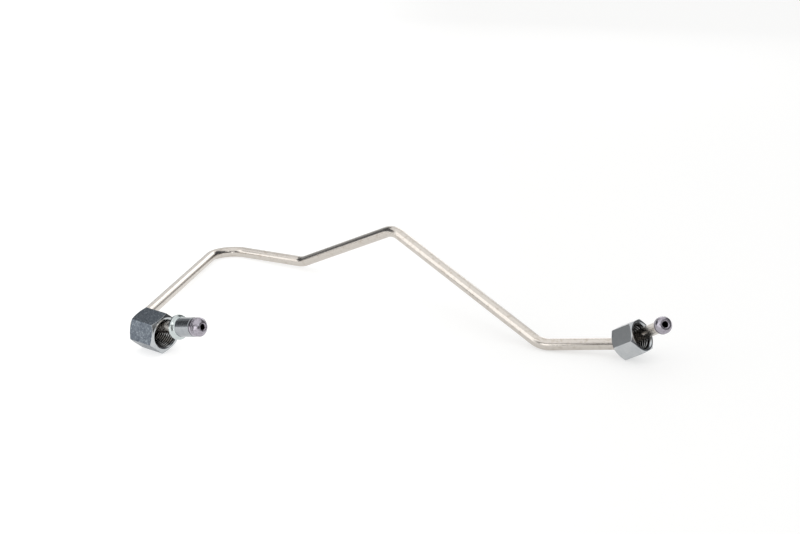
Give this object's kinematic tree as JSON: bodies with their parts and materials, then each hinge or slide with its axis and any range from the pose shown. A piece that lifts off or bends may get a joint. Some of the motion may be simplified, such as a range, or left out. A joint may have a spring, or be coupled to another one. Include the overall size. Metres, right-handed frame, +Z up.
{
  "type": "high pressure fuel line",
  "caption": "Bent steel fuel pipe with a bore right through, cold-formed conical ends, a collared thrust sleeve behind one end and a loose hexagon union nut on each end.",
  "frame": {"origin": "on the floor the line lies on, under the middle of its bounding box", "axes": "+X along the line's longest extent, towards the small nut; +Z up from the floor it rests on; the ends face -Y"},
  "size_m": [0.2816, 0.2014, 0.0441],
  "materials": {
    "drawn_steel": "satin, drawn lengthwise",
    "sleeve_zinc": "bright zinc plate on turned steel",
    "large_nut_zinc": "blue-grey zinc plate on a slightly rough forging",
    "small_nut_zinc": "smooth zinc plate"
  },
  "bodies": {
    "line": {"fuel_tube": "drawn_steel", "thrust_sleeve": "sleeve_zinc"},
    "large_nut": {"large_union_nut": "large_nut_zinc"},
    "small_nut": {"small_union_nut": "small_nut_zinc"}
  },
  "joints": [
    {"name": "large_nut_spin", "type": "hinge", "parent": "line", "child": "large_nut", "pos_m": [-0.13224, -0.05475, 0.01094], "axis": [0.781, -0.6245, 0.0072], "continuous": true},
    {"name": "small_nut_spin", "type": "hinge", "parent": "line", "child": "small_nut", "pos_m": [0.12056, -0.06943, 0.00711], "axis": [0.6492, -0.5467, 0.5289], "continuous": true}
  ]
}
